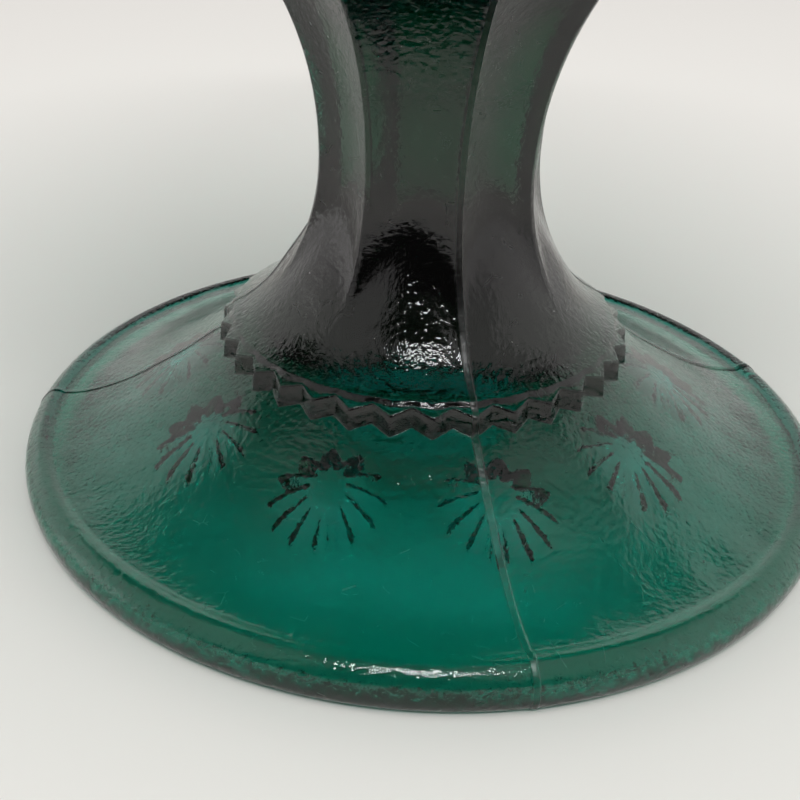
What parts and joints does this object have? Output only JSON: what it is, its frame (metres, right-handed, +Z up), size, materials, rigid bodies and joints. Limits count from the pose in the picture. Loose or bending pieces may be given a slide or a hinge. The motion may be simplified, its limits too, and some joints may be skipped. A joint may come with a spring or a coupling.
{
  "type": "flower frog",
  "caption": "Footed teal pressed-glass flower bowl with a toothed collar and panelled stem, holding a lift-out needle flower frog under a domed wire cage.",
  "frame": {"origin": "middle of the foot, on the surface that the glass stands on", "axes": "+Z up along the stem; one ridge of the stem and the front mould seam face -Y"},
  "size_m": [0.151, 0.151, 0.1496],
  "materials": {
    "teal_glass": "pressed glass, dark teal green, fire-polished with an orange-peel texture",
    "lead_grey": "cast, dull dark grey, slightly tarnished",
    "needle_brass": "drawn and ground, bright",
    "cage_brass": "polished, lightly tarnished at the solder",
    "black_rubber": "matt"
  },
  "bodies": {
    "bowl": {"glass_bowl": "teal_glass"},
    "frog": {"frog_base": "lead_grey", "rubber_ring": "black_rubber", "centre_needle": "needle_brass", "needle_row_1": "needle_brass", "needle_row_2": "needle_brass", "needle_row_3": "needle_brass", "needle_row_4": "needle_brass"},
    "cage": {"cage_foot_ring": "cage_brass", "cage_top_ring": "cage_brass", "cage_post_1": "cage_brass", "cage_post_2": "cage_brass", "cage_post_3": "cage_brass", "cage_post_4": "cage_brass", "cage_post_5": "cage_brass", "cage_post_6": "cage_brass", "lower_wire_1": "cage_brass", "lower_wire_2": "cage_brass", "lower_wire_3": "cage_brass", "lower_wire_4": "cage_brass", "lower_wire_5": "cage_brass", "upper_wire_1": "cage_brass", "upper_wire_2": "cage_brass", "upper_wire_3": "cage_brass", "upper_wire_4": "cage_brass", "upper_wire_5": "cage_brass", "lift_knob": "cage_brass"}
  },
  "joints": [
    {"name": "frog_lift", "type": "slide", "parent": "bowl", "child": "frog", "axis": [0, 0, 1], "range_m": [0, 0.06]},
    {"name": "cage_lift", "type": "slide", "parent": "frog", "child": "cage", "axis": [0, 0, 1], "range_m": [0, 0.03]}
  ]
}
